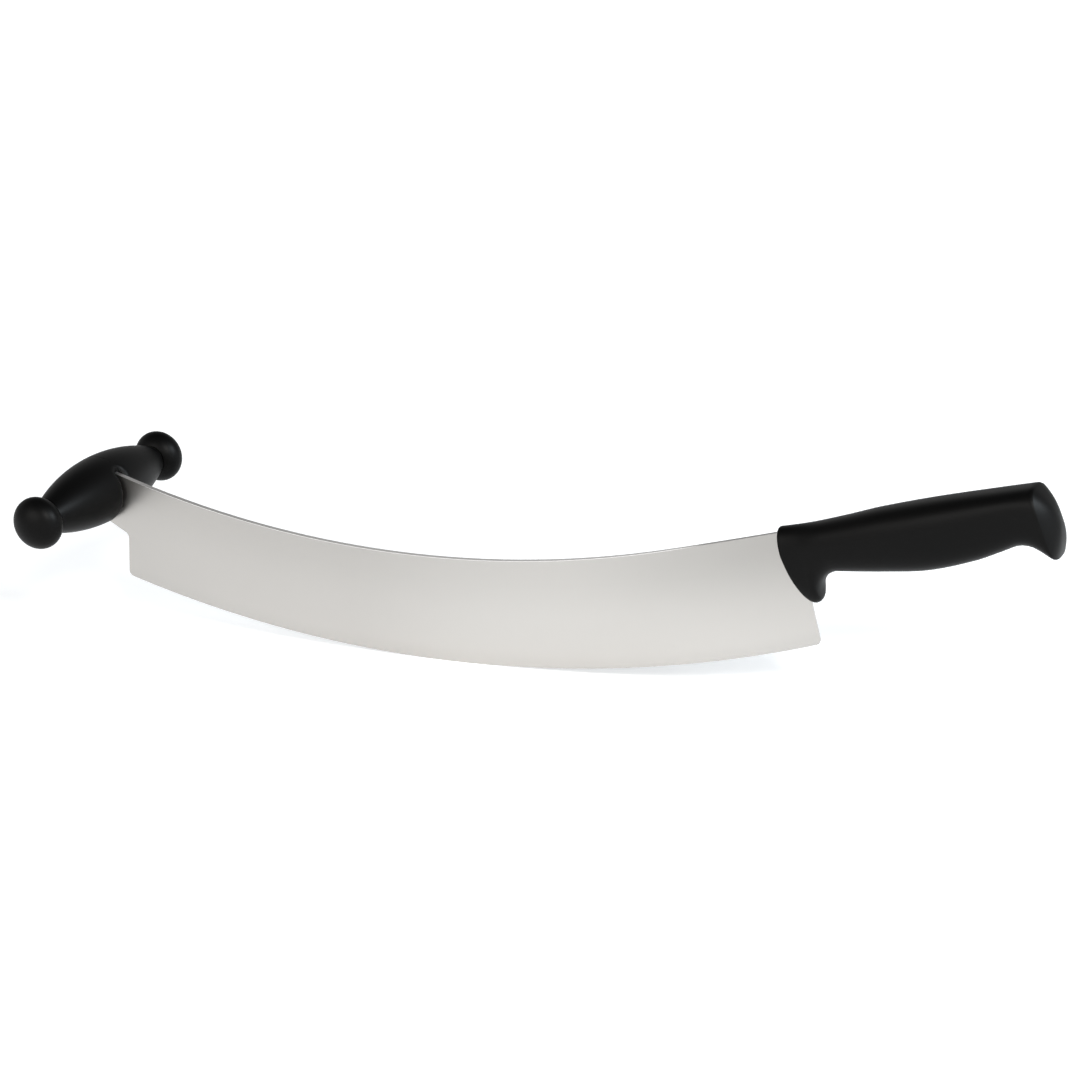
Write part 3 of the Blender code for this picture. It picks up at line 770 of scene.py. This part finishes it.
def addSection(centre, halfHeight, halfWidth, power, bow):
    # A square whose corners are rounded all the way along its sides is the superellipse
    deselectAll()
    bpy.ops.mesh.primitive_plane_add(size=2)
    section = bpy.context.object
    enterEdit(section)
    bpy.ops.mesh.select_all(action="SELECT")
    bpy.ops.mesh.bevel(offset_type="PERCENT", offset_pct=50, segments=grip["cornerSteps"],
                       profile=2 ** (-2 / power), affect="VERTICES")
    bpy.ops.mesh.remove_doubles(threshold=grip["cornerWeld"])
    bpy.ops.mesh.delete(type="ONLY_FACE")
    leaveEdit()
    across = halfHeight.cross(Vector((0, 1, 0)))
    section.matrix_world = Matrix((
        (halfHeight.x, 0, across.x, centre.x),
        (0, halfWidth, 0, 0),
        (halfHeight.z, 0, across.z, centre.z),
        (0, 0, 0, 1)))
    rises = [vertex.co.x for vertex in section.data.vertices]
    applyPlace()
    forwards = fromGrip(0, 0) - fromGrip(bow, 0)
    for vertex, rise in zip(section.data.vertices, rises):
        vertex.co += forwards * (1 - rise * rise)
    return section


def bridgeOn(piece, section, ringSize):
    # Joins the next section to the loft and skins the last two rings
    deselectAll()
    piece.select_set(True)
    section.select_set(True)
    bpy.context.view_layer.objects.active = piece
    bpy.ops.object.join()
    first = len(piece.data.vertices) - 2 * ringSize
    selectIndices(piece, range(first, first + 2 * ringSize))
    bpy.ops.mesh.bridge_edge_loops()
    leaveEdit()


def selectIndices(piece, indices):
    enterEdit(piece)
    bpy.ops.mesh.select_mode(type="VERT")
    bpy.ops.mesh.select_all(action="DESELECT")
    leaveEdit()
    for index in indices:
        piece.data.vertices[index].select = True
    bpy.ops.object.mode_set(mode="EDIT")
    bpy.ops.mesh.select_mode(type="EDGE")


def buildGrip():
    ringSize = 4 * grip["cornerSteps"]
    powerGain = grip["pommelPower"] - grip["frontPower"]
    piece = None
    sections = gripSections()
    for topPlace, foot, bow in sections:
        top = fromGrip(topPlace, smoothThrough(grip["topLine"], topPlace))
        centre = (top + fromGrip(*foot)) / 2
        halfHeight = top - centre
        halfWidth = smoothThrough(grip["halfWidths"], topPlace)
        power = grip["frontPower"] + powerGain * topPlace / grip["length"]
        section = addSection(centre, halfHeight, halfWidth, power, bow)
        if piece:
            bridgeOn(piece, section, ringSize)
        else:
            piece = section
    outward = Vector((halfHeight.z, 0, -halfHeight.x)).normalized()
    for share in grip["domeShares"]:
        swollen = centre + outward * grip["dome"] * (1 - share * share)
        section = addSection(swollen, halfHeight * share, halfWidth * share, power, 0.0)
        bridgeOn(piece, section, ringSize)
    # The pommel's middle is closed at its pole, the front face by a net of strips
    last = len(piece.data.vertices)
    selectIndices(piece, range(last - ringSize, last))
    bpy.ops.mesh.merge(type="CENTER")
    leaveEdit()
    selectIndices(piece, range(ringSize))
    bpy.ops.mesh.fill_grid(span=grip["cornerSteps"])
    bpy.ops.mesh.select_all(action="SELECT")
    bpy.ops.mesh.normals_make_consistent(inside=False)
    leaveEdit()
    rim = (len(sections) - 1) * ringSize
    selectIndices(piece, range(rim, rim + ringSize))
    bpy.ops.mesh.bevel(
        offset=grip["pommelRounding"], segments=grip["pommelRoundingSteps"], affect="EDGES")
    leaveEdit()
    selectIndices(piece, range(ringSize))
    bpy.ops.mesh.bevel(
        offset=grip["frontRounding"], segments=grip["frontRoundingSteps"], affect="EDGES")
    leaveEdit()
    return piece


rearGrip = buildGrip()
settle(rearGrip, "grip_rear")
finish(rearGrip, gripPlastic, "rear_handle")
print("rear handle ready")


# Blade: the ground section is spun about the centre of the cutting edge's arc, then cut to the
# blank's outline

blade = {
    "thickness": 0.0025,
    "reach": 0.070,                 # from the edge's arc inwards, past the spine
    "grindHeight": 0.040,
    "bevelHeight": 0.0014,
    "bevelThickness": 0.0007,
    "frontAngle": math.radians(24),
    "rearAngle": math.radians(30),
    "steps": 216,
    "weld": 0.000005,
    "sharpAngle": math.radians(10),
}


def spinGroundRing():
    centre = Vector((axisX + edgeArc["centre"][0], 0, axisZ + edgeArc["centre"][1]))
    flatHeight = blade["reach"] - blade["grindHeight"]
    deselectAll()
    bpy.ops.mesh.primitive_plane_add(size=1, rotation=(0, math.pi / 2, 0))
    ring = bpy.context.object
    drop = edgeArc["radius"] - blade["grindHeight"] - flatHeight / 2
    ring.location = centre - Vector((0, 0, drop))
    ring.scale = (flatHeight, blade["thickness"], 1)
    applyPlace()
    lowest = min(vertex.co.z for vertex in ring.data.vertices)
    enterEdit(ring)
    bpy.ops.mesh.select_mode(type="VERT")
    selectVertices(ring, lambda point: point.z < lowest + blade["weld"])
    taper = blade["grindHeight"] - blade["bevelHeight"]
    bpy.ops.mesh.extrude_region_move(TRANSFORM_OT_translate={"value": (0, 0, -taper)})
    bpy.ops.transform.resize(value=(1, blade["bevelThickness"] / blade["thickness"], 1),
                             center_override=(centre.x, 0, 0))
    step = (0, 0, -blade["bevelHeight"])
    bpy.ops.mesh.extrude_region_move(TRANSFORM_OT_translate={"value": step})
    bpy.ops.mesh.merge(type="CENTER")
    leaveEdit()
    turn = Matrix.Rotation(blade["frontAngle"], 4, "Y")
    ring.matrix_world = Matrix.Translation(centre) @ turn @ Matrix.Translation(-centre)
    applyPlace()
    enterEdit(ring)
    bpy.ops.mesh.select_all(action="SELECT")
    bpy.ops.mesh.spin(steps=blade["steps"], angle=blade["frontAngle"] + blade["rearAngle"],
                      center=centre, axis=(0, 1, 0))
    bpy.ops.mesh.select_all(action="SELECT")
    bpy.ops.mesh.remove_doubles(threshold=blade["weld"])
    bpy.ops.mesh.normals_make_consistent(inside=False)
    leaveEdit()
    return ring


def buildBlade():
    ring = spinGroundRing()
    cutWith(ring, thickOutline(1), "INTERSECT")
    return ring


steelBlade = buildBlade()
settle(steelBlade, "blade_ground", blade["sharpAngle"])
finish(steelBlade, bladeSteel, "blade")
print("blade ready")

fittings = {
    "cross_stud": studSteel,
    "knob_insert_near": insertBrass,
    "knob_insert_far": insertBrass,
}
for node, metal in fittings.items():
    nodes[node].data.materials.clear()
    nodes[node].data.materials.append(metal)
